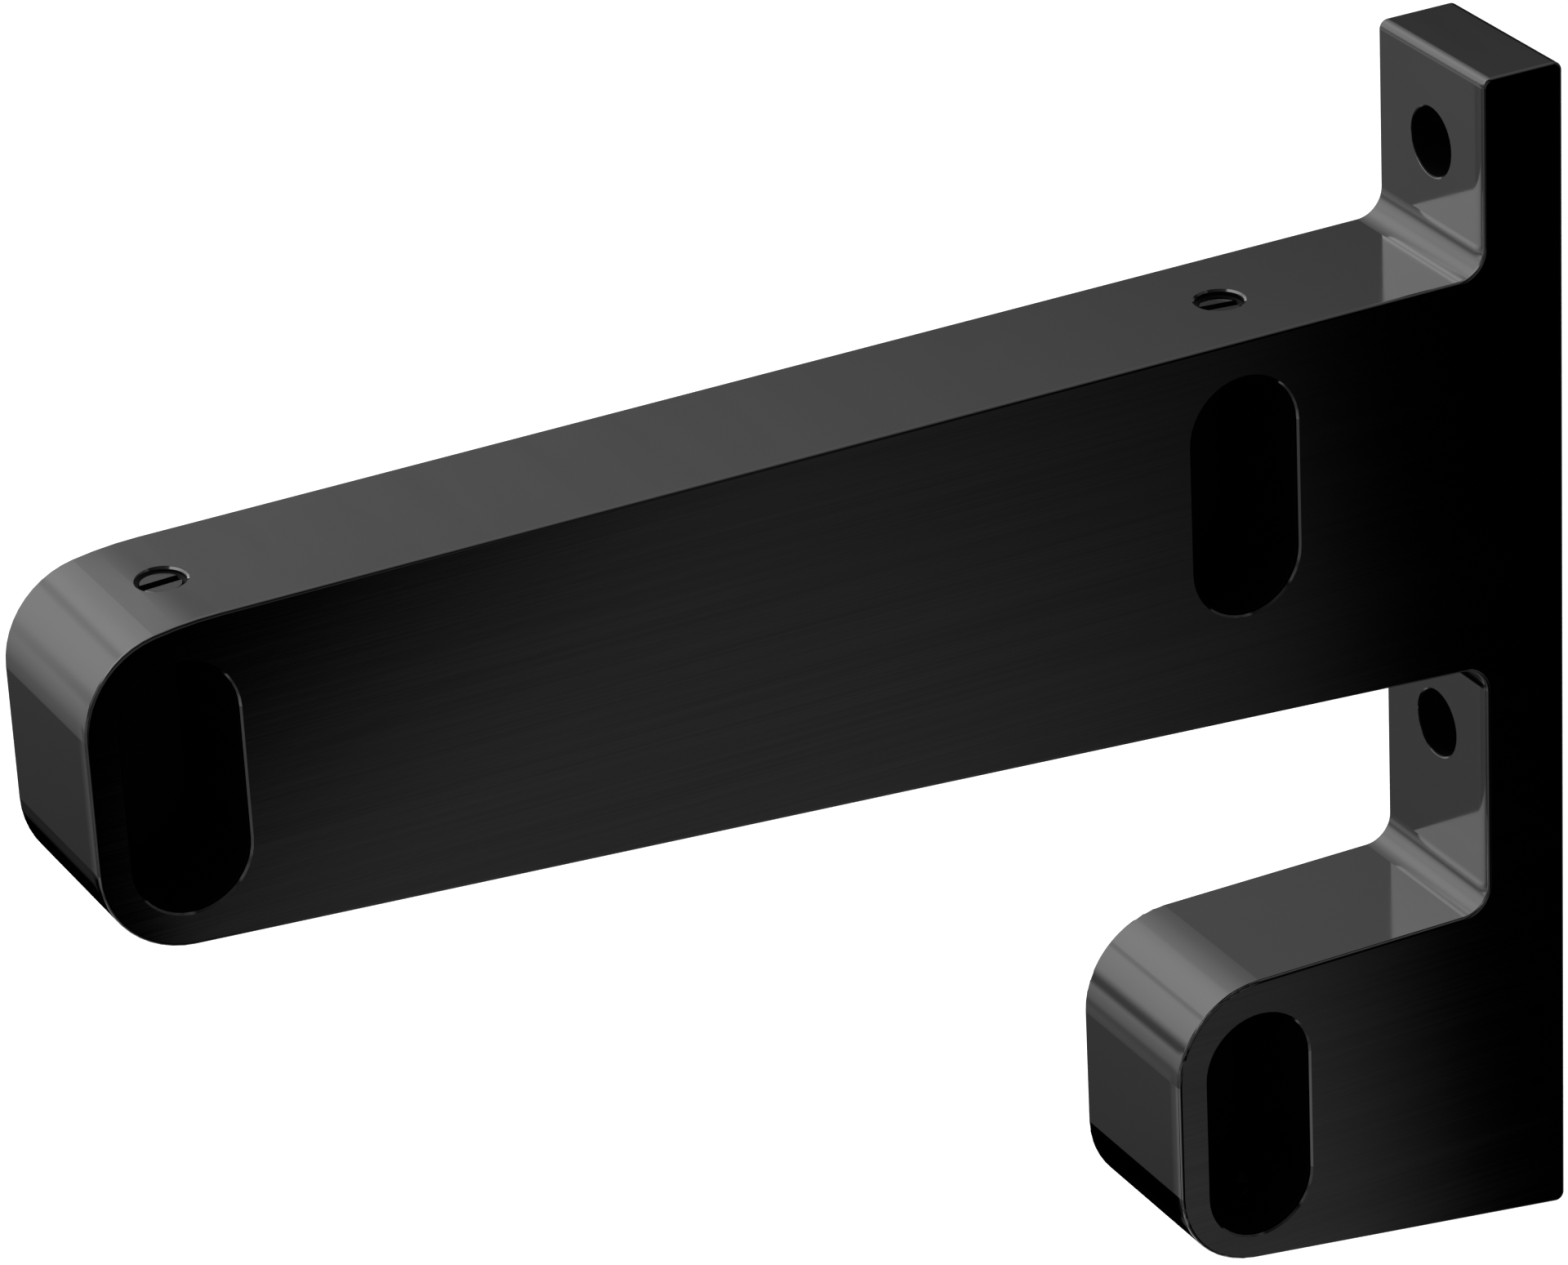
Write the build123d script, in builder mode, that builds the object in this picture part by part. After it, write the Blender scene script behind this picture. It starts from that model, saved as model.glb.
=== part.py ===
"""Curtain rod end bracket: a one-piece metal bracket with two arms, and its three grub screws.

The bracket is fixed flat to a wall. X points into the wall, Z points up, and the arms reach out along -X.
The origin lies on the wall face, midway between the two wall screw holes. Millimetres and degrees.
"""
from build123d import *
from math import radians, sqrt, tan
import os

# Wall plate
bracket_thickness = 20.0        # along the wall, between the two side faces
plate_thickness = 9.5
wall_hole_spacing = 66.7
wall_hole_diameter = 7.5
wall_hole_chamfer = 0.15
plate_top_margin = 10.1         # from the upper screw hole to the top end of the plate
plate_foot_margin = 56.7        # from the lower screw hole to the foot of the plate

# Upper arm
upper_arm_reach = 165.0
upper_arm_drop = 11.35          # its top lies this far below the upper screw hole
upper_arm_root_depth = 45.3     # its depth where its outline meets the wall
upper_arm_rise = 4.1            # degrees, the slope of its underside

# Lower arm, whose underside starts at the foot of the plate
lower_arm_reach = 47.8
lower_arm_drop = 18.1           # its top lies this far below the lower screw hole
lower_arm_rise = 7.6            # degrees, the slope of its underside

# Rounds of the outline
root_fillet = 3.0               # where the arms leave the plate
nose_radius = 10.0              # lower corner of both arm ends, and the lower arm's top corner
crown_radius = 40.0             # the long bend with which the upper arm's top starts to fall
crown_angle = 10.0              # degrees that this bend turns
crown_length = 11.3             # from the arm's end to the middle of this bend
crown_nose_radius = 9.5         # top corner of the upper arm's end
tab_round = 1.0                 # front and wall edges of the plate's top end
foot_round = 1.0
edge_round = 0.35               # along both side faces

# Rod sockets, long-round and blind
socket_width = 12.4
socket_height = 26.5
socket_depth = 16.0
socket_front_wall = 3.5         # metal left between a socket and the arm's end
socket_roof = 4.1               # metal left above a socket
socket_mouth_chamfer = 0.2

# Grub screws, slotted, with a cup point
screw_diameter = 5.0
screw_length = 5.0
screw_head_chamfer = 0.45
screw_slot_width = 1.2
screw_slot_depth = 1.6
screw_cup_diameter = 2.5
screw_cup_depth = 0.8
screw_clearance = 0.03          # between a screw and its tapped hole, all round
screw_offset = 3.2              # from the middle of a socket towards the wall
tapped_hole_sink = 0.25         # width of the countersink at the mouth of a tapped hole
front_screw_recess = 0.4        # from the arm's skin to the slotted end
rear_screw_recess = 0.65
lower_screw_recess = 0.7
front_slot_turn = 4.0           # degrees between the slot and the arm
rear_slot_turn = -8.0
lower_slot_turn = -35.0

# Levels that follow
half_thickness = bracket_thickness / 2
upper_hole_z = wall_hole_spacing / 2
lower_hole_z = -wall_hole_spacing / 2
plate_top_z = upper_hole_z + plate_top_margin
foot_z = lower_hole_z - plate_foot_margin
upper_arm_top_z = upper_hole_z - upper_arm_drop
upper_arm_root_z = upper_arm_top_z - upper_arm_root_depth
lower_arm_top_z = lower_hole_z - lower_arm_drop

# The rear socket stands straight above the lower one, and level with the front one
socket_end_radius = socket_width / 2
socket_half_height = socket_height / 2
front_socket_x = socket_front_wall + socket_end_radius - upper_arm_reach
rear_socket_x = socket_front_wall + socket_end_radius - lower_arm_reach
upper_socket_z = upper_arm_top_z - socket_roof - socket_half_height
lower_socket_z = lower_arm_top_z - socket_roof - socket_half_height

# The crown's bend starts here on the upper arm's level top
crown_x = crown_length - upper_arm_reach
crown_start_x = crown_x + crown_radius * tan(radians(crown_angle / 2))


def upper_arm_top(x):
    """Height of the upper arm's top at x, on its level part or on the crown's bend."""
    past_start = max(0.0, crown_start_x - x)
    return upper_arm_top_z - crown_radius + sqrt(crown_radius**2 - past_start**2)


def upper_arm_underside(x):
    """Height of the upper arm's underside at x."""
    return upper_arm_root_z - x * tan(radians(upper_arm_rise))


def lower_arm_underside(x):
    """Height of the lower arm's underside at x."""
    return foot_z - x * tan(radians(lower_arm_rise))


# Corners of the outline, each with its round: up the wall, then down the front
corners = [
    (0, foot_z, foot_round),
    (0, plate_top_z, tab_round),
    (-plate_thickness, plate_top_z, tab_round),
    (-plate_thickness, upper_arm_top_z, root_fillet),
    (crown_x, upper_arm_top_z, crown_radius),
    (-upper_arm_reach, upper_arm_top_z - crown_length * tan(radians(crown_angle)), crown_nose_radius),
    (-upper_arm_reach, upper_arm_underside(-upper_arm_reach), nose_radius),
    (-plate_thickness, upper_arm_underside(-plate_thickness), root_fillet),
    (-plate_thickness, lower_arm_top_z, root_fillet),
    (-lower_arm_reach, lower_arm_top_z, nose_radius),
    (-lower_arm_reach, lower_arm_underside(-lower_arm_reach), nose_radius),
]
outline_points = [(x, z) for x, z, _ in corners]
outline_rounds = [round_radius for _, _, round_radius in corners]

# Where the grub screws enter the arms, and how far each hole runs before it is in the socket's hollow
front_screw_x = front_socket_x + screw_offset
rear_screw_x = rear_socket_x + screw_offset
front_screw_skin = upper_arm_top(front_screw_x)
lower_screw_skin = lower_arm_underside(rear_screw_x)
upper_hollow_z = upper_socket_z + socket_half_height - socket_end_radius
lower_hollow_z = lower_socket_z - socket_half_height + socket_end_radius
facing_down = (180, 0, 0)
tapped_holes = [
    (Location((front_screw_x, 0, front_screw_skin)), front_screw_skin - upper_hollow_z),
    (Location((rear_screw_x, 0, upper_arm_top_z)), upper_arm_top_z - upper_hollow_z),
    (Location((rear_screw_x, 0, lower_screw_skin), facing_down), lower_hollow_z - lower_screw_skin),
]
screw_seats = [
    (tapped_holes[0][0], front_screw_recess, front_slot_turn),
    (tapped_holes[1][0], rear_screw_recess, rear_slot_turn),
    (tapped_holes[2][0], lower_screw_recess, lower_slot_turn),
]
screw_radius = screw_diameter / 2
tapped_radius = screw_radius + screw_clearance
wall_hole_radius = wall_hole_diameter / 2

# The bracket: the outline as a slice of profile, with its side edges broken
with BuildPart() as bracket:
    with BuildSketch(Plane.XZ):
        with BuildLine():
            FilletPolyline(outline_points, radius=outline_rounds, close=True)
        make_face()
    extrude(amount=half_thickness, both=True)
    side_faces = bracket.faces().sort_by(Axis.Y)
    fillet(side_faces[0].edges() + side_faces[-1].edges(), edge_round)

    # Three sockets, milled into one side face
    with BuildSketch(Plane.XZ.offset(half_thickness)):
        with Locations((front_socket_x, upper_socket_z), (rear_socket_x, upper_socket_z),
                       (rear_socket_x, lower_socket_z)):
            SlotOverall(socket_height, socket_width, rotation=90)
    extrude(amount=-socket_depth, mode=Mode.SUBTRACT)
    socket_face = bracket.faces().sort_by(Axis.Y)[0]
    chamfer(socket_face.inner_wires().edges(), socket_mouth_chamfer)

    # Two plain screw holes through the plate, to the wall
    with Locations(*[Plane(origin=(-plate_thickness, 0, z), z_dir=(-1, 0, 0))
                     for z in (upper_hole_z, lower_hole_z)]):
        CounterSinkHole(wall_hole_radius, wall_hole_radius + wall_hole_chamfer, plate_thickness, 90)

    # Tapped holes for the grub screws, from the arms' skin into the sockets
    for mouth, depth in tapped_holes:
        with Locations(mouth):
            CounterSinkHole(tapped_radius, tapped_radius + tapped_hole_sink, depth, 90)

# One grub screw, its slotted end at the origin and facing up
with BuildPart() as grub_screw:
    with BuildSketch(Plane.XZ):
        with BuildLine():
            Polyline(
                (0, 0),
                (screw_radius - screw_head_chamfer, 0),
                (screw_radius, -screw_head_chamfer),
                (screw_radius, screw_radius - screw_cup_diameter / 2 - screw_length),
                (screw_cup_diameter / 2, -screw_length),
                (0, screw_cup_depth - screw_length),
                close=True,
            )
        make_face()
    revolve(axis=Axis.Z)
    Box(screw_diameter, screw_slot_width, screw_slot_depth,
        align=(Align.CENTER, Align.CENTER, Align.MAX), mode=Mode.SUBTRACT)

# The three screws where they sit
with BuildPart() as grub_screws:
    for mouth, recess, slot_turn in screw_seats:
        with Locations(mouth * Location((0, 0, -recess), (0, 0, slot_turn))):
            add(grub_screw.part)

bracket.part.label = "bracket"
grub_screws.part.label = "grub_screws"
os.makedirs("parts", exist_ok=True)
export_step(bracket.part, "parts/bracket.step")
export_step(grub_screws.part, "parts/grub_screws.step")
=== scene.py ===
"""Looks for the curtain rod end bracket: black metal, threaded grub screws, pale studio."""

import math

import bmesh
import bpy
from mathutils import Euler, Matrix, Vector


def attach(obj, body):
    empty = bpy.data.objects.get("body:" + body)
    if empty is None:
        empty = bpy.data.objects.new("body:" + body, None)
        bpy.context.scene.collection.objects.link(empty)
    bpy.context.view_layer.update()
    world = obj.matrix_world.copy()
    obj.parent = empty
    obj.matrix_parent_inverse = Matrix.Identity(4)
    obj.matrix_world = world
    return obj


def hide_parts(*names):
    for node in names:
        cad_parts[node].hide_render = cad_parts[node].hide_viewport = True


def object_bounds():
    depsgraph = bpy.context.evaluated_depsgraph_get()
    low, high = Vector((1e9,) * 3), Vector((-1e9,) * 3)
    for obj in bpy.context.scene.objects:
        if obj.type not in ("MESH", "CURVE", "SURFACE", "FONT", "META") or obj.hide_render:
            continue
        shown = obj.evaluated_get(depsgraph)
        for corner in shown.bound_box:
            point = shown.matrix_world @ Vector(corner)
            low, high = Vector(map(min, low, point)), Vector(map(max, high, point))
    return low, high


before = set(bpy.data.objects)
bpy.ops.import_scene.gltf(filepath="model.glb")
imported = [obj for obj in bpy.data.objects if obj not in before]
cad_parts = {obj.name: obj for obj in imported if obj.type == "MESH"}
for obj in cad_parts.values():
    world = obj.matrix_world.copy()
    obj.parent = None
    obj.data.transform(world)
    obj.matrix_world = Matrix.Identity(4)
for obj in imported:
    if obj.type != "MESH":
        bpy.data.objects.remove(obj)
cad_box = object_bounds()
MM = 0.001

# Places taken from the part, in millimetres: wall face at x 0, side face at y -10.
SOCKET_CENTRES = ((-155.3, 4.65), (-38.1, 4.65), (-38.1, -68.8))
SOCKET_WIDTH = 12.4
SOCKET_HEIGHT = 26.5
SOCKET_MOUTH = (-9.6, -9.2)     # y where a socket's painted shade starts, and where it is full
SOCKET_END = 6.3                # y just past a socket's floor
WALL_HOLE_HEIGHTS = (33.35, -33.35)
WALL_HOLE_RADIUS = 3.75
INNER_CORNER_START = -13.5      # x from which a curved face belongs to an inner corner
FRONT_ARM_END = -60.0           # x beyond which only the front screw lies

# Each grub screw: x and z of its slotted end, the turn of its slot in degrees, which way it
# faces, and how far it is sunk below the arm's skin.
SCREW_SEATS = (
    (-152.1, 21.555, 4.0, 1, 0.4),
    (-34.9, 21.35, -8.0, 1, 0.65),
    (-34.9, -84.693, -35.0, -1, 0.7),
)
SCREW_RADIUS = 2.5
SCREW_LENGTH = 5.0
HEAD_CHAMFER = 0.45
CUP_RADIUS = 1.25
CUP_DEPTH = 0.8
SLOT_WIDTH = 1.2
SLOT_DEPTH = 1.6
SLOT_CUT_ABOVE = 0.5            # how far the slot's cutter stands out of the screw, upwards
SLOT_CUT_ASIDE = 0.3            # and at the slot's ends
THREAD_PITCH = 0.8
THREAD_DEPTH = 0.44
THREAD_FLAT = 0.12              # share of the way from root to crest that each keeps level
SCREW_STEPS = 60                # points round a screw
SCREW_ROWS = 100

# The thread of a tapped hole is a ridge let into the hole's plain wall.
HOLE_RADIUS = 2.53
HOLE_DEPTH = 3.7
HOLE_SIDE = 5.0                 # how far above and below its mouth a hole's wall is looked for
RIDGE_START = 0.3               # below the arm's skin
RIDGE_SINK = 0.03
RIDGE_HEIGHT = 0.43
RIDGE_FOOT = 0.34               # half its width at the wall
RIDGE_CREST = 0.06              # half its width at the crest
RIDGE_STEPS = 48                # in one turn
RIDGE_TAPER = 10                # steps over which its ends rise to full height
RIDGE_LEAST_HEIGHT = 0.02       # share of its height and of its width that its ends start with
RIDGE_LEAST_WIDTH = 0.1

# How far outside its hole a face may lie and still be the hole's wall.
SOCKET_MARGIN = 0.05
WALL_HOLE_MARGIN = 0.1
TAPPED_MARGIN = 0.05

# Noise: cells a metre, detail, stretch along x, y and z, and seed.
FINE_STREAKS = (4200.0, 2.0, (160, 60, 1), 0.0)
BROAD_STREAKS = (700.0, 3.0, (60, 30, 1), 3.0)
CLOUDS = (45.0, 3.0, (1, 1, 1), 7.0)
POLISH = (260.0, 3.0, (1, 9, 1), 11.0)
UNEVEN = (450.0, 3.0, (4, 4, 1), 17.0)
STEEL_CLOUDS = (900.0, 4.0, (1, 1, 1), 0.0)
TURNED = (5200.0, 2.0, (1, 1, 6), 5.0)
PAPER_GRAIN = (6.0, 3.0, (1, 1, 1), 0.0)
SPREAD = (0.3, 0.7)             # noise values at which a shade or roughness is at its two ends
FINE_SHARE = 0.6
BROAD_SHARE = 0.4

# The two flat sides are told from the rim by the normal's y, and the upright fronts by its x.
SIDE_NORMAL = (0.80, 0.97)
UPRIGHT_NORMAL = (0.90, 0.99)
CORNER_NORMAL = (0.05, 0.30)    # the lesser of x and z, which isn't 0 where a face is curved
END_NORMAL = (0.93, 0.98)       # z on a grub screw's flat end

# Reflectance of the black metal, with the near-black painted shade on the walls inside the
# sockets and holes, then its roughness.
SIDE_SHADES = (0.0205, 0.0255)
RIM_SHADES = (0.046, 0.054)
HOLLOW_PAINTED_SHADE = 0.003
SIDE_ROUGH = (0.035, 0.055)
RIM_ROUGH = (0.06, 0.10)
BORED_ROUGH = 0.65
CORNER_ROUGH = 0.22
COOL = 1.02                     # blue over red
FAINTLY_COOL = 1.01

# Relief of the black metal: shares of the noises in its height, and the fronts' rolled edge.
UNEVEN_RELIEF = 0.35
STREAK_RELIEF = 0.10
POLISH_RELIEF = 0.05
METAL_BUMP = 0.25
STEEL_BUMP = 0.2
BUMP_HEIGHT = 0.02
ROLL_START = 7.8                # from the middle of the bracket's thickness
ROLL_FALL = 0.016
ROLL_POWER = 3.0

STEEL_SHADES = (0.030, 0.060)
STEEL_ROUGH = (0.18, 0.30)
END_ROUGH = (0.10, 0.15)
# The front screw's slotted end keeps a polished shade; the ends of the other two get a
# near-black painted shade.
FRONT_END_SHADE = 0.047
OTHER_ENDS_PAINTED_SHADE = 0.006

# The metal mirrors a studio that is laid out by direction, in the bracket's own axes. The share
# of a direction in another is their dot product.
X, Y, Z = (1.0, 0.0, 0.0), (0.0, 1.0, 0.0), (0.0, 0.0, 1.0)
ACROSS = "y, either way"
ASIDE = (1.0, 0.56275, 0.0)
OVER_LAMP = (1.0, 0.0, 1.44)
OVER_CAMERA = (-0.9, 1.0, 0.0)
PHOTOGRAPHER = (-0.19, -0.586, 0.787)

# Lobes of light: the middle, the share at which it has faded out, the power of its fall, and
# its peak. The lamp stands high on the left; its glow fades out a little past a right angle.
LAMP = ((-0.651, 0.115, 0.750), -0.125, 1.41, 5.1)
TAIL = ((-0.22, 0.83, -0.51), 0.9965, 1.0, 0.055)
RIM_FILL = ((-0.77, -0.39, -0.44), 0.80, 1.0, 0.6)

# To the right the lamp's lower edge comes in three steps of z: from, to, and the glow at each.
LAMP_RIGHT = (X, -0.1, 0.2)
LAMP_STEPS = ((0.369, 0.389, 0.5, 0.72), (0.392, 0.42, 1.0, 1.25), (0.42, 0.48, 1.0, 1.11))

# Patches of the studio that are brighter or darker: what share of the glow each adds, and its
# borders, each a direction and the shares of it where the patch starts and is full.
PATCHES = (
    # Beside the lamp a dimmer band starts at once, and over it the lamp is at its fullest.
    (-0.27, (X, 0.42, 0.36), (Z, 0.43, 0.465), (Z, 0.497, 0.484)),
    (0.17, (OVER_LAMP, 0.97, 0.92), (Z, 0.42, 0.50), (X, -0.50, -0.10)),
    # The horizon on the far left is dark.
    (-0.72, (X, -0.51, -0.60), (Z, 0.16, 0.01), (Z, -0.13, -0.03)),
    # Under it the glow holds on a little, and then ends low on the left.
    (0.15, (Z, -0.33, -0.40)),
    (0.20, (Z, -0.44, -0.49)),
    (-1.0, (X, -0.30, -0.34), (Z, -0.507, -0.530), (ASIDE, -0.25, -0.10)),
    (-0.3, (X, -0.50, -0.54), (Z, -0.27, -0.34)),
    # A dark flag over the camera keeps the near edges from flaring.
    (-0.35, (OVER_CAMERA, 0.25, 0.05), (Z, 0.38, 0.52)),
    # The photographer stands dark before the side face, and dims what the near edges mirror.
    (-0.75, (Y, 0.66, 0.42), (Z, -0.485, -0.472), (Z, 0.62, 0.42)),
    (-0.90, (PHOTOGRAPHER, 0.78, 0.86)),
)

# Low on the left the light grows towards the camera's side, in two steps.
GROWTH_BORDER = (Z, -0.478, -0.494)
GROWTH_STEPS = ((0.003, -0.03, 0.0, 0.35), (-0.10, -0.25, 0.0, 1.3))

# What lights the undersides from the floor: a soft sheet, and more straight below, which the
# sockets' side gets less of.
SHEET_BORDERS = ((Z, -0.25, -0.45), (ACROSS, 0.70, 0.50), (X, -0.55, -0.40))
SHEET_GLOW = 0.25
BELOW_BORDER = (Z, -0.67, -0.76)
BELOW_BY_Y = (-0.12, 0.02, 0.15, 1.4)

# A plain fill from both sides and from the wall, so that the metal reads all round.
FILL_ACROSS = (ACROSS, 0.88, 0.95)
FILL_RIGHT = (X, 0.60, 0.72)
FILL_RIGHT_BY_Y = (0.45, 0.65, 0.35, 1.0)
FILL_GLOW = 0.9

# The pale floor before the side face, its far rim on the left and its end on the right.
FLOOR_BORDERS = (
    ((0.644, 0.0, -0.765), 0.545, 0.587),
    ((-0.994, 0.0, -0.109), -0.466, -0.341),
    ((-0.985, 0.0, 0.172), -0.545, -0.520),
    (X, 0.313, 0.319),
)
FLOOR_FRONT = (Y, -0.5, -0.65)
FLOOR_GLOW = 0.70
FLOOR_NEARER = 9.8              # how fast it brightens as z falls
FLOOR_LEVEL = 0.45              # z below 0 at which it is as bright as FLOOR_GLOW
FLOOR_MOST = 2.0

# In the inner corners the metal mirrors itself, and the lamp behind the camera adds to that.
CORNER_DIRECTION = (-0.49, 0.77, 0.42)
CORNER_BY_SHARE = (0.955, 0.995, 0.33, 1.0)
CORNER_BY_Z = (0.40, 0.48, 0.97, 1.32)
CORNER_GAIN = 4.4

# Strength of the plain white world: as light on dull surfaces, and as the camera sees it.
WORLD_LIGHT = 0.75
WORLD_SEEN = 1.0

# The paper floor, the key lamp and the camera: metres, watts and degrees, the lens in
# millimetres.
SCENE_MIDDLE = (-0.08, 0.0)
PAPER_DROP = 0.22
PAPER_SIZE = 8.0
PAPER_SHADES = (0.80, 0.82)
PAPER_LIFT = 0.45
KEY_PLACE = (-0.9, 0.2, 1.1)
KEY_SIZE = 1.2
KEY_POWER = 18.0
CAMERA_PLACE = (-0.38898, -0.61030, 0.33519)
CAMERA_TURN = (63.654, 2.714, -27.736)
CAMERA_LENS = 174.2
CAMERA_SENSOR = 36.0
CAMERA_CLIP = 0.01


class Nodes:
    """Short ways to add and link shader nodes in one tree."""

    def __init__(self, tree):
        self.tree = tree
        tree.nodes.clear()

    def add(self, kind, values=(), **settings):
        """Adds a node; values are (socket name or index, value or output socket) pairs."""
        node = self.tree.nodes.new(kind)
        for name, value in settings.items():
            setattr(node, name, value)
        for socket, value in values:
            self.feed(node.inputs[socket], value)
        return node

    def feed(self, socket, value):
        if isinstance(value, bpy.types.NodeSocket):
            self.tree.links.new(value, socket)
        else:
            socket.default_value = value

    def calc(self, operation, a, b=0.0, c=0.0):
        values = [(0, a), (1, b), (2, c)]
        return self.add("ShaderNodeMath", values, operation=operation).outputs[0]

    def times(self, *values):
        product = values[0]
        for value in values[1:]:
            product = self.calc("MULTIPLY", product, value)
        return product

    def apart(self, a, b):
        """How far two values are from each other."""
        return self.calc("ABSOLUTE", self.calc("SUBTRACT", a, b))

    def length(self, a, b):
        squares = self.calc("ADD", self.calc("POWER", a, 2.0), self.calc("POWER", b, 2.0))
        return self.calc("SQRT", squares)

    def dot(self, a, b):
        node = self.add("ShaderNodeVectorMath", [(0, a), (1, b)], operation="DOT_PRODUCT")
        return node.outputs["Value"]

    def parts(self, vector):
        """The x, y and z of a vector."""
        return self.add("ShaderNodeSeparateXYZ", [(0, vector)]).outputs

    def fade(self, value, start, end, low=0.0, high=1.0):
        """low before start, high after end, and a smooth step between them."""
        values = [
            ("Value", value),
            ("From Min", start),
            ("From Max", end),
            ("To Min", low),
            ("To Max", high),
        ]
        node = self.add("ShaderNodeMapRange", values, interpolation_type="SMOOTHSTEP")
        return node.outputs["Result"]

    def noise(self, place, scale, detail, stretch, seed):
        """Noise of about scale cells a metre, stretched by dividing each axis."""
        size = tuple(scale / s for s in stretch)
        values = [("Vector", place), ("Location", (seed, seed, seed)), ("Scale", size)]
        mapped = self.add("ShaderNodeMapping", values)
        values = [("Vector", mapped.outputs[0]), ("Scale", 1.0), ("Detail", detail)]
        return self.add("ShaderNodeTexNoise", values).outputs["Fac"]

    def mix(self, share, a, b):
        node = self.add("ShaderNodeMix", [(0, share), (6, a), (7, b)], data_type="RGBA")
        return node.outputs[2]

    def between(self, share, a, b):
        node = self.add("ShaderNodeMix", [(0, share), (2, a), (3, b)], data_type="FLOAT")
        return node.outputs[0]

    def bump(self, strength, distance, height, *normal):
        values = [("Strength", strength), ("Distance", distance), ("Height", height)]
        values += [("Normal", under) for under in normal]
        return self.add("ShaderNodeBump", values).outputs[0]

    def metal(self, shade, rough, normal):
        """Ends a material as bare metal."""
        values = [
            ("Base Color", shade),
            ("Metallic", 1.0),
            ("Roughness", rough),
            ("Normal", normal),
        ]
        shader = self.add("ShaderNodeBsdfPrincipled", values)
        self.surface(shader)

    def surface(self, shader):
        self.add("ShaderNodeOutputMaterial", [("Surface", shader.outputs[0])])


def material(name):
    made = bpy.data.materials.new(name)
    made.use_nodes = True
    return made, Nodes(made.node_tree)


def grey(value, tint=1.0):
    return (value, value, value * tint, 1.0)


def in_sockets(n, x, y, z):
    """1 in the hollow of a rod socket and on its walls, 0 elsewhere."""
    hollow = 0.0
    straight = (SOCKET_HEIGHT - SOCKET_WIDTH) / 2 * MM
    for centre_x, centre_z in SOCKET_CENTRES:
        dx = n.calc("SUBTRACT", x, centre_x * MM)
        dz = n.apart(z, centre_z * MM)
        dz = n.calc("MAXIMUM", n.calc("SUBTRACT", dz, straight), 0.0)
        reach = (SOCKET_WIDTH / 2 + SOCKET_MARGIN) * MM
        within = n.calc("LESS_THAN", n.length(dx, dz), reach)
        hollow = n.calc("MAXIMUM", hollow, within)
    start, full = SOCKET_MOUTH
    hollow = n.times(hollow, n.fade(y, start * MM, full * MM))
    return n.times(hollow, n.calc("LESS_THAN", y, SOCKET_END * MM))


def in_holes(n, x, y, z):
    """1 on the walls inside the sockets, screw holes and tapped holes, which get painted shade,
    0 elsewhere.
    """
    painted_shade_hollows = in_sockets(n, x, y, z)
    for height in WALL_HOLE_HEIGHTS:
        from_axis = n.length(y, n.calc("SUBTRACT", z, height * MM))
        wall = n.calc("LESS_THAN", from_axis, (WALL_HOLE_RADIUS + WALL_HOLE_MARGIN) * MM)
        painted_shade_hollows = n.calc("MAXIMUM", painted_shade_hollows, wall)
    for seat_x, seat_z, _, _, _ in SCREW_SEATS:
        near = n.calc("LESS_THAN", n.apart(z, seat_z * MM), HOLE_SIDE * MM)
        from_axis = n.length(y, n.calc("SUBTRACT", x, seat_x * MM))
        wall = n.calc("LESS_THAN", from_axis, (HOLE_RADIUS + TAPPED_MARGIN) * MM)
        painted_shade_hollows = n.calc("MAXIMUM", painted_shade_hollows, n.times(near, wall))
    return painted_shade_hollows


def rolled_fronts(n, facing_x, y):
    """Normal of the upright fronts, rolled off a little towards the sockets' side."""
    upright = n.fade(n.calc("ABSOLUTE", facing_x), *UPRIGHT_NORMAL)
    past = n.calc("MAXIMUM", n.calc("MULTIPLY_ADD", y, -1.0, -ROLL_START * MM), 0.0)
    fall = n.times(n.calc("POWER", n.calc("DIVIDE", past, MM), ROLL_POWER), -ROLL_FALL)
    return n.bump(1.0, MM, n.times(fall, upright))


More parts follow.
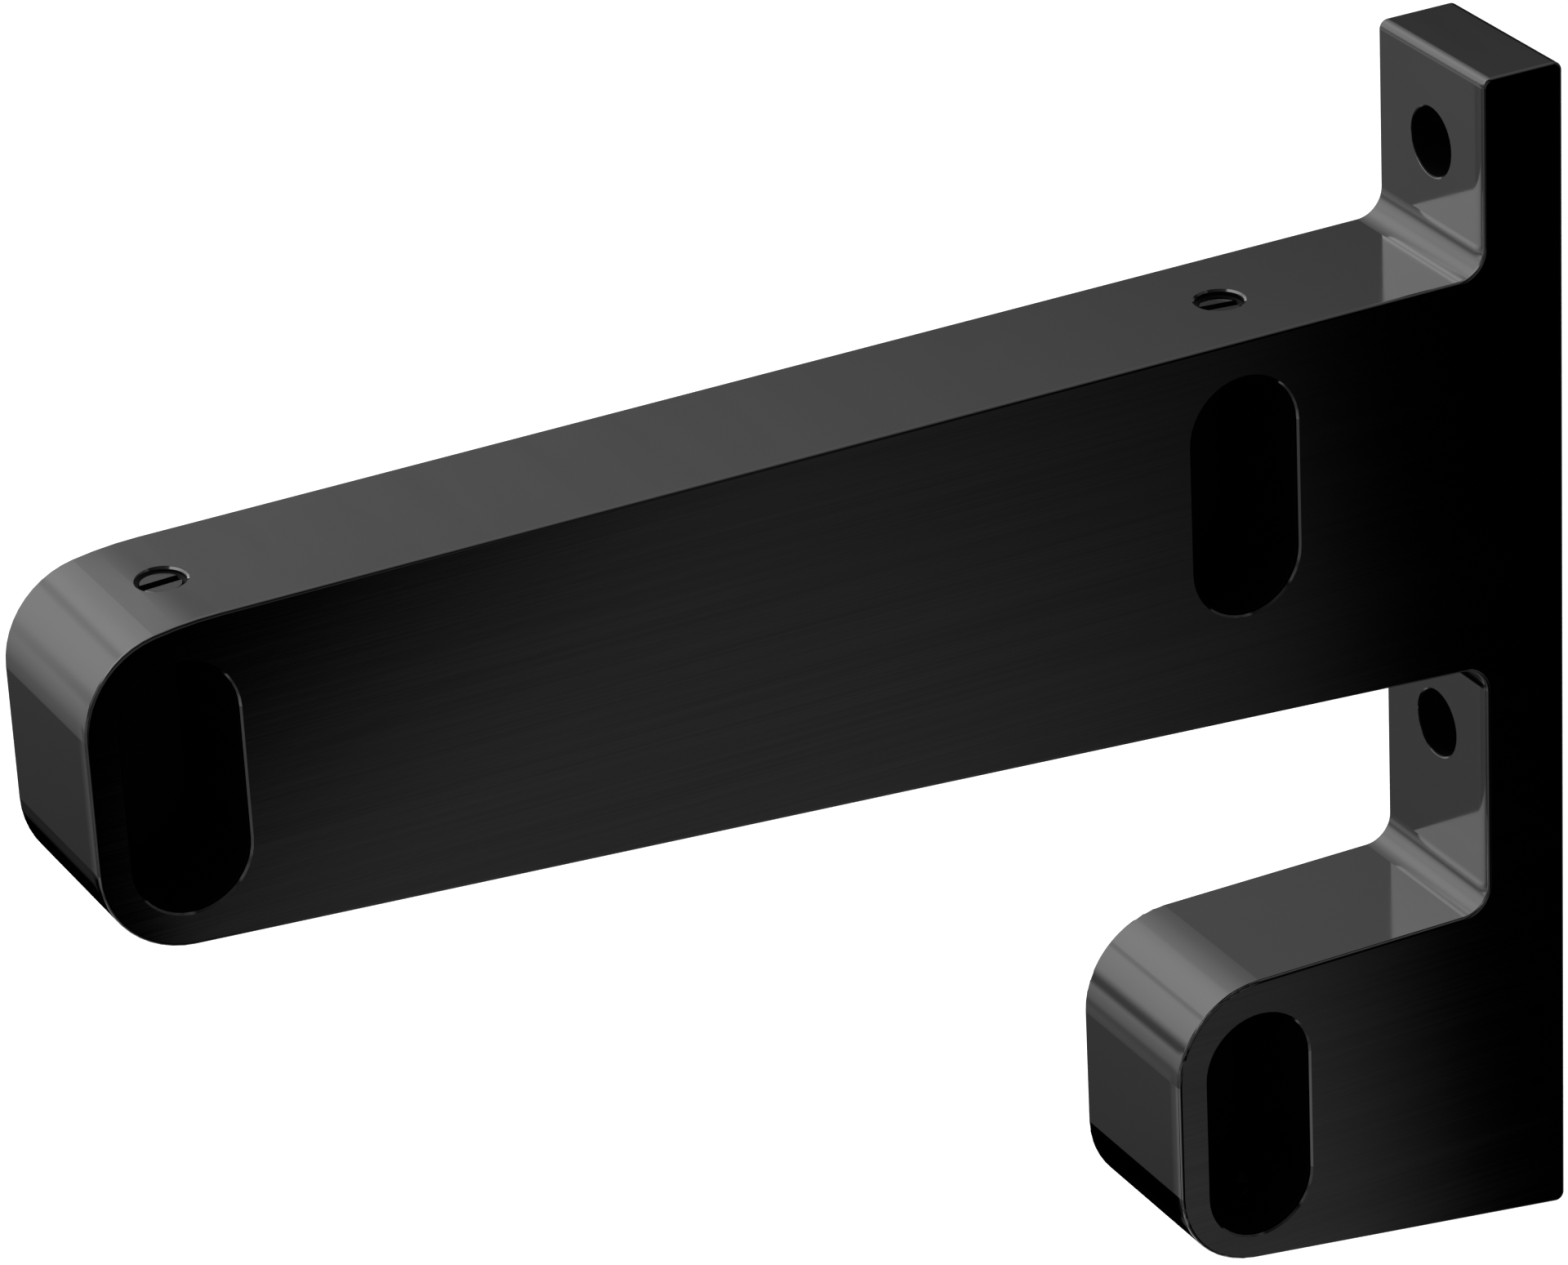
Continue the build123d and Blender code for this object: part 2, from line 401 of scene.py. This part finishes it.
def black_metal():
    """Black metal, polished round the outline, finely brushed on both flat sides."""
    made, n = material("black_metal")
    coords = n.add("ShaderNodeTexCoord")
    place = coords.outputs["Object"]
    x, y, z = n.parts(place)
    facing_x, facing_y, facing_z = n.parts(coords.outputs["Normal"])
    side = n.fade(n.calc("ABSOLUTE", facing_y), *SIDE_NORMAL)
    painted_shade_hollows = in_holes(n, x, y, z)

    # Brush lines run along the arms, in long fine streaks.
    fine = n.noise(place, *FINE_STREAKS)
    broad = n.noise(place, *BROAD_STREAKS)
    streaks = n.calc("ADD", n.times(fine, FINE_SHARE), n.times(broad, BROAD_SHARE))
    cloudy = n.noise(place, *CLOUDS)
    polish = n.noise(place, *POLISH)
    uneven = n.noise(place, *UNEVEN)

    side_shade = n.mix(n.fade(streaks, *SPREAD), *[grey(shade, COOL) for shade in SIDE_SHADES])
    rim_shade = n.mix(cloudy, grey(RIM_SHADES[0]), grey(RIM_SHADES[1], FAINTLY_COOL))
    shade = n.mix(side, rim_shade, side_shade)
    # Painted shade: the walls inside the sockets and holes are darkened nearly to black.
    shade = n.mix(painted_shade_hollows, shade, grey(HOLLOW_PAINTED_SHADE))

    side_rough = n.fade(streaks, *SPREAD, *SIDE_ROUGH)
    rim_rough = n.fade(polish, *SPREAD, *RIM_ROUGH)
    rough = n.between(side, rim_rough, side_rough)
    rough = n.between(painted_shade_hollows, rough, BORED_ROUGH)

    # The polishing wheel doesn't reach right into the inner corners.
    level, upright = n.calc("ABSOLUTE", facing_x), n.calc("ABSOLUTE", facing_z)
    curved = n.fade(n.calc("MINIMUM", level, upright), *CORNER_NORMAL)
    corner = n.times(curved, n.calc("GREATER_THAN", x, INNER_CORNER_START * MM))
    rough = n.between(corner, rough, CORNER_ROUGH)

    brushed = n.calc("MULTIPLY_ADD", uneven, UNEVEN_RELIEF, n.times(streaks, STREAK_RELIEF))
    height = n.between(side, n.times(polish, POLISH_RELIEF), brushed)
    roll = rolled_fronts(n, facing_x, y)
    n.metal(shade, rough, n.bump(METAL_BUMP, BUMP_HEIGHT * MM, height, roll))
    return made


def black_steel():
    """Blackened steel of the grub screws, the front one's slotted end left bright, the other
    ends and what lies in the sockets darkened by painted shade.
    """
    made, n = material("black_steel")
    coords = n.add("ShaderNodeTexCoord")
    place = coords.outputs["Object"]
    x, y, z = n.parts(place)
    end_face = n.fade(n.calc("ABSOLUTE", n.parts(coords.outputs["Normal"])["Z"]), *END_NORMAL)
    front_end = n.calc("LESS_THAN", x, FRONT_ARM_END * MM)
    cloudy = n.noise(place, *STEEL_CLOUDS)
    turned = n.noise(place, *TURNED)

    skin = n.mix(cloudy, *[grey(shade, COOL) for shade in STEEL_SHADES])
    # Painted shade: every slotted end but the front one's is darkened nearly to black.
    face = n.mix(front_end, grey(OTHER_ENDS_PAINTED_SHADE), grey(FRONT_END_SHADE))
    shade = n.mix(end_face, skin, face)
    # Painted shade: what lies inside the sockets is darkened nearly to black.
    shade = n.mix(in_sockets(n, x, y, z), shade, grey(HOLLOW_PAINTED_SHADE))
    skin_rough = n.fade(turned, *SPREAD, *STEEL_ROUGH)
    rough = n.between(end_face, skin_rough, n.fade(turned, *SPREAD, *END_ROUGH))
    n.metal(shade, rough, n.bump(STEEL_BUMP, BUMP_HEIGHT * MM, turned))
    return made


def mesh_piece(name, verts, faces, made):
    mesh = bpy.data.meshes.new(name)
    mesh.from_pydata([[c * MM for c in v] for v in verts], [], faces)
    mesh.validate()
    mesh.materials.append(made)
    piece = bpy.data.objects.new(name, mesh)
    bpy.context.scene.collection.objects.link(piece)
    return piece


def thread_cut(turn_share, z):
    """Depth of the thread at a height: 0 on the crest and THREAD_DEPTH at the root."""
    phase = (z / THREAD_PITCH - turn_share) % 1.0
    from_root = abs(2.0 * phase - 1.0)
    slope = (1.0 - THREAD_FLAT - from_root) / (1.0 - 2.0 * THREAD_FLAT)
    return THREAD_DEPTH * min(1.0, max(0.0, slope))


def threaded_blank(made):
    """A threaded screw with a cup point and no slot, its flat end at the origin, facing up."""
    verts, faces = [], []
    for row in range(SCREW_ROWS + 1):
        z = -SCREW_LENGTH * row / SCREW_ROWS
        limit = min(SCREW_RADIUS - HEAD_CHAMFER - z, CUP_RADIUS + SCREW_LENGTH + z)
        for step in range(SCREW_STEPS):
            share = step / SCREW_STEPS
            radius = min(limit, SCREW_RADIUS - thread_cut(share, z))
            angle = 2 * math.pi * share
            verts.append((radius * math.cos(angle), radius * math.sin(angle), z))
    for row in range(SCREW_ROWS):
        for step in range(SCREW_STEPS):
            a, b = row * SCREW_STEPS + step, row * SCREW_STEPS + (step + 1) % SCREW_STEPS
            faces.append((a, a + SCREW_STEPS, b + SCREW_STEPS, b))
    faces.append(tuple(range(SCREW_STEPS)))
    cup = len(verts)
    verts.append((0, 0, CUP_DEPTH - SCREW_LENGTH))
    last = SCREW_ROWS * SCREW_STEPS
    for step in range(SCREW_STEPS):
        faces.append((cup, last + (step + 1) % SCREW_STEPS, last + step))
    return mesh_piece("screw_blank", verts, faces, made)


def grub_screw(made):
    """Mesh of a threaded screw with its slot cut."""
    screw = threaded_blank(made)
    half, side = SLOT_WIDTH / 2, SCREW_RADIUS + SLOT_CUT_ASIDE
    heights = (-SLOT_DEPTH, SLOT_CUT_ABOVE)
    corners = [(x, y, z) for x in (-side, side) for y in (-half, half) for z in heights]
    walls = [(0, 1, 3, 2), (4, 6, 7, 5), (0, 4, 5, 1), (2, 3, 7, 6), (0, 2, 6, 4), (1, 5, 7, 3)]
    cutter = mesh_piece("slot_cutter", corners, walls, made)
    cut = screw.modifiers.new("slot", "BOOLEAN")
    cut.object, cut.operation, cut.solver = cutter, "DIFFERENCE", "EXACT"
    evaluated = screw.evaluated_get(bpy.context.evaluated_depsgraph_get())
    mesh = bpy.data.meshes.new_from_object(evaluated)
    bpy.data.objects.remove(screw)
    bpy.data.objects.remove(cutter)
    return mesh


def thread_ridge(recess):
    """Verts and faces of the ridge in a tapped hole, in the frame of the screw's slotted end."""
    start, end = recess - RIDGE_START, recess - HOLE_DEPTH
    count = int((start - end) / THREAD_PITCH * RIDGE_STEPS)
    outer = HOLE_RADIUS + RIDGE_SINK
    verts, faces = [], []
    for step in range(count + 1):
        middle = start - THREAD_PITCH * step / RIDGE_STEPS
        share = (middle / THREAD_PITCH - 0.5) % 1.0
        angle = 2 * math.pi * share
        rise = min(1.0, step / RIDGE_TAPER, (count - step) / RIDGE_TAPER)
        inner = outer - RIDGE_HEIGHT * max(rise, RIDGE_LEAST_HEIGHT)
        width = max(rise, RIDGE_LEAST_WIDTH)
        foot, crest = RIDGE_FOOT * width, RIDGE_CREST * width
        for radius, lift in ((outer, -foot), (inner, -crest), (inner, crest), (outer, foot)):
            verts.append((radius * math.cos(angle), radius * math.sin(angle), middle + lift))
    for step in range(count):
        for corner in range(4):
            a, b = 4 * step + corner, 4 * step + (corner + 1) % 4
            faces.append((a, b, b + 4, a + 4))
    faces.append((3, 2, 1, 0))
    faces.append(tuple(4 * count + corner for corner in range(4)))
    return verts, faces


def seat(x, z, turn, facing):
    """Matrix that carries a screw's own frame, in metres, to where the screw sits."""
    flip = Matrix.Rotation(0.0 if facing > 0 else math.pi, 4, "X")
    spin = Matrix.Rotation(math.radians(turn), 4, "Z")
    return Matrix.Translation((x * MM, 0, z * MM)) @ flip @ spin


def join(name, meshes, made):
    """One object out of several placed meshes."""
    built = bmesh.new()
    for mesh in meshes:
        built.from_mesh(mesh)
    bmesh.ops.recalc_face_normals(built, faces=built.faces)
    whole = bpy.data.meshes.new(name)
    built.to_mesh(whole)
    built.free()
    whole.materials.append(made)
    piece = bpy.data.objects.new(name, whole)
    bpy.context.scene.collection.objects.link(piece)
    return piece


def threaded_fasteners(steel, metal):
    """The three grub screws with their real threads, and the threads of their holes."""
    blank = grub_screw(steel)
    screws, ridges = [], []
    for x, z, turn, facing, recess in SCREW_SEATS:
        place = seat(x, z, turn, facing)
        screw = blank.copy()
        screw.transform(place)
        screws.append(screw)
        verts, faces = thread_ridge(recess)
        ridge = bpy.data.meshes.new("ridge")
        ridge.from_pydata([place @ (Vector(v) * MM) for v in verts], [], faces)
        ridges.append(ridge)
    threaded = join("threaded_grub_screws", screws, steel)
    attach(threaded, "root")
    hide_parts("grub_screws")
    tapped = join("tapped_hole_threads", ridges, metal)
    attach(tapped, "root")


def give(node, made):
    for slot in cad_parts[node].material_slots:
        slot.material = made


class MirroredStudio:
    """How bright each direction is to the metal that mirrors it."""

    def __init__(self, n, path):
        self.n = n
        self.path = path
        self.direction = n.add("ShaderNodeTexCoord").outputs["Generated"]
        dx, dy, dz = n.parts(self.direction)
        self.shares = {X: dx, Y: dy, Z: dz, ACROSS: n.calc("ABSOLUTE", dy)}

    def share(self, axis):
        """Share of an axis, or of any other direction, in the mirrored direction."""
        if axis not in self.shares:
            self.shares[axis] = self.n.dot(self.direction, axis)
        return self.shares[axis]

    def within(self, *borders):
        """1 inside all borders, 0 outside any of them, and smooth between."""
        sides = [self.n.fade(self.share(axis), start, full) for axis, start, full in borders]
        return self.n.times(*sides)

    def lobe(self, middle, edge, power, peak):
        """A round light that fades evenly from its middle."""
        along = self.n.dot(self.direction, Vector(middle).normalized())
        share = self.n.calc("DIVIDE", self.n.calc("SUBTRACT", along, edge), 1.0 - edge)
        share = self.n.calc("MAXIMUM", share, 0.0)
        return self.n.times(self.n.calc("POWER", share, power), peak)

    def lamp(self):
        """The lamp's glow, with the brighter and darker patches before it."""
        n, z = self.n, self.shares[Z]
        edge = n.times(*[n.fade(z, *step) for step in LAMP_STEPS])
        glow = n.times(self.lobe(*LAMP), n.between(self.within(LAMP_RIGHT), 1.0, edge))
        for added, *borders in PATCHES:
            glow = n.times(glow, n.calc("MULTIPLY_ADD", self.within(*borders), added, 1.0))
        first, second = [n.fade(self.share(ASIDE), *step) for step in GROWTH_STEPS]
        growth = n.times(n.calc("ADD", first, second), self.within(GROWTH_BORDER))
        return n.times(glow, n.calc("ADD", growth, 1.0))

    def below(self):
        """What the undersides mirror."""
        n = self.n
        sheet = n.times(self.within(*SHEET_BORDERS), SHEET_GLOW)
        straight = n.times(self.within(BELOW_BORDER), n.fade(self.shares[Y], *BELOW_BY_Y))
        return n.calc("MAXIMUM", straight, sheet)

    def fill(self):
        """A plain glow from both sides and from the wall."""
        n = self.n
        right = n.times(self.within(FILL_RIGHT), n.fade(self.shares[Y], *FILL_RIGHT_BY_Y))
        return n.times(n.calc("MAXIMUM", self.within(FILL_ACROSS), right), FILL_GLOW)

    def floor(self):
        """What the side face mirrors: the pale floor before it, brighter where it is nearer."""
        n = self.n
        floor = n.times(self.within(FLOOR_FRONT), FLOOR_GLOW, self.within(*FLOOR_BORDERS))
        fallen = n.calc("ADD", self.shares[Z], FLOOR_LEVEL)
        nearer = n.calc("MAXIMUM", n.calc("MULTIPLY_ADD", fallen, -FLOOR_NEARER, 1.0), 0.0)
        return n.times(floor, n.calc("MINIMUM", nearer, FLOOR_MOST))

    def corner_gain(self):
        """How much brighter the studio is to a ray that the metal mirrors twice."""
        n = self.n
        along = n.dot(self.direction, Vector(CORNER_DIRECTION).normalized())
        gain = n.fade(along, *CORNER_BY_SHARE)
        gain = n.times(gain, n.fade(self.shares[Z], *CORNER_BY_Z), CORNER_GAIN)
        second = n.calc("COMPARE", self.path.outputs["Glossy Depth"], 2.0, 0.5)
        return n.between(second, 1.0, gain)

    def glow(self):
        """All the lights together."""
        n = self.n
        glow = self.lamp()
        lights = self.below(), self.lobe(*TAIL), self.lobe(*RIM_FILL), self.fill(), self.floor()
        for light in lights:
            glow = n.calc("ADD", glow, light)
        return n.times(glow, self.corner_gain())


def studio_world():
    """White for the camera. Metal sees the white fade away from the soft light."""
    world = bpy.data.worlds.new("studio")
    world.use_nodes = True
    bpy.context.scene.world = world
    n = Nodes(world.node_tree)
    path = n.add("ShaderNodeLightPath")
    seen = n.calc("MAXIMUM", path.outputs["Is Camera Ray"], path.outputs["Is Transmission Ray"])
    strengths = n.between(seen, WORLD_LIGHT, WORLD_SEEN), MirroredStudio(n, path).glow()
    plain, mirrored = [
        n.add("ShaderNodeBackground", [("Color", grey(1.0)), ("Strength", strength)])
        for strength in strengths
    ]
    kinds = [(0, path.outputs["Is Glossy Ray"]), (1, plain.outputs[0]), (2, mirrored.outputs[0])]
    both = n.add("ShaderNodeMixShader", kinds)
    n.add("ShaderNodeOutputWorld", [("Surface", both.outputs[0])])


def floor_material():
    """Pale paper, lifted to white for the camera, and not in the way when seen from below."""
    made, n = material("pale_floor")
    path = n.add("ShaderNodeLightPath")
    place = n.add("ShaderNodeTexCoord").outputs["Object"]
    shade = n.mix(n.noise(place, *PAPER_GRAIN), *[grey(shade) for shade in PAPER_SHADES])
    body = n.add("ShaderNodeBsdfDiffuse", [("Color", shade)])
    lift = n.times(path.outputs["Is Camera Ray"], PAPER_LIFT)
    lift = n.add("ShaderNodeEmission", [("Color", grey(1.0)), ("Strength", lift)])
    both = n.add("ShaderNodeAddShader", [(0, body.outputs[0]), (1, lift.outputs[0])])
    clear = n.add("ShaderNodeBsdfTransparent")
    back = n.add("ShaderNodeNewGeometry").outputs["Backfacing"]
    sides = [(0, back), (1, both.outputs[0]), (2, clear.outputs[0])]
    n.surface(n.add("ShaderNodeMixShader", sides))
    return made


def pale_floor():
    """A wide pale floor under the bracket, which keeps its soft shadow."""
    lowest, _ = cad_box
    place = (*SCENE_MIDDLE, lowest.z - PAPER_DROP)
    bpy.ops.mesh.primitive_plane_add(size=PAPER_SIZE, location=place)
    floor = bpy.context.object
    floor.name = "floor"
    floor.data.materials.append(floor_material())
    floor.visible_glossy = False


def key_light():
    """A large soft lamp, which the metal doesn't mirror."""
    lamp = bpy.data.lights.new("key", "AREA")
    lamp.shape = "SQUARE"
    lamp.size = KEY_SIZE
    lamp.energy = KEY_POWER
    lamp_object = bpy.data.objects.new("key", lamp)
    bpy.context.scene.collection.objects.link(lamp_object)
    lamp_object.location = KEY_PLACE
    aim = Vector((*SCENE_MIDDLE, 0.0)) - Vector(KEY_PLACE)
    lamp_object.rotation_euler = aim.to_track_quat("-Z", "Y").to_euler()
    lamp_object.visible_glossy = False


def photo_camera():
    camera = bpy.data.objects.new("camera", bpy.data.cameras.new("camera"))
    bpy.context.scene.collection.objects.link(camera)
    camera.location = CAMERA_PLACE
    camera.rotation_euler = Euler([math.radians(turn) for turn in CAMERA_TURN], "XYZ")
    camera.data.lens = CAMERA_LENS
    camera.data.sensor_width = CAMERA_SENSOR
    camera.data.clip_start = CAMERA_CLIP
    bpy.context.scene.camera = camera


bracket_metal = black_metal()
screw_steel = black_steel()
give("bracket", bracket_metal)
give("grub_screws", screw_steel)
threaded_fasteners(screw_steel, bracket_metal)
studio_world()
pale_floor()
key_light()
photo_camera()
bpy.context.scene.view_settings.view_transform = "Standard"
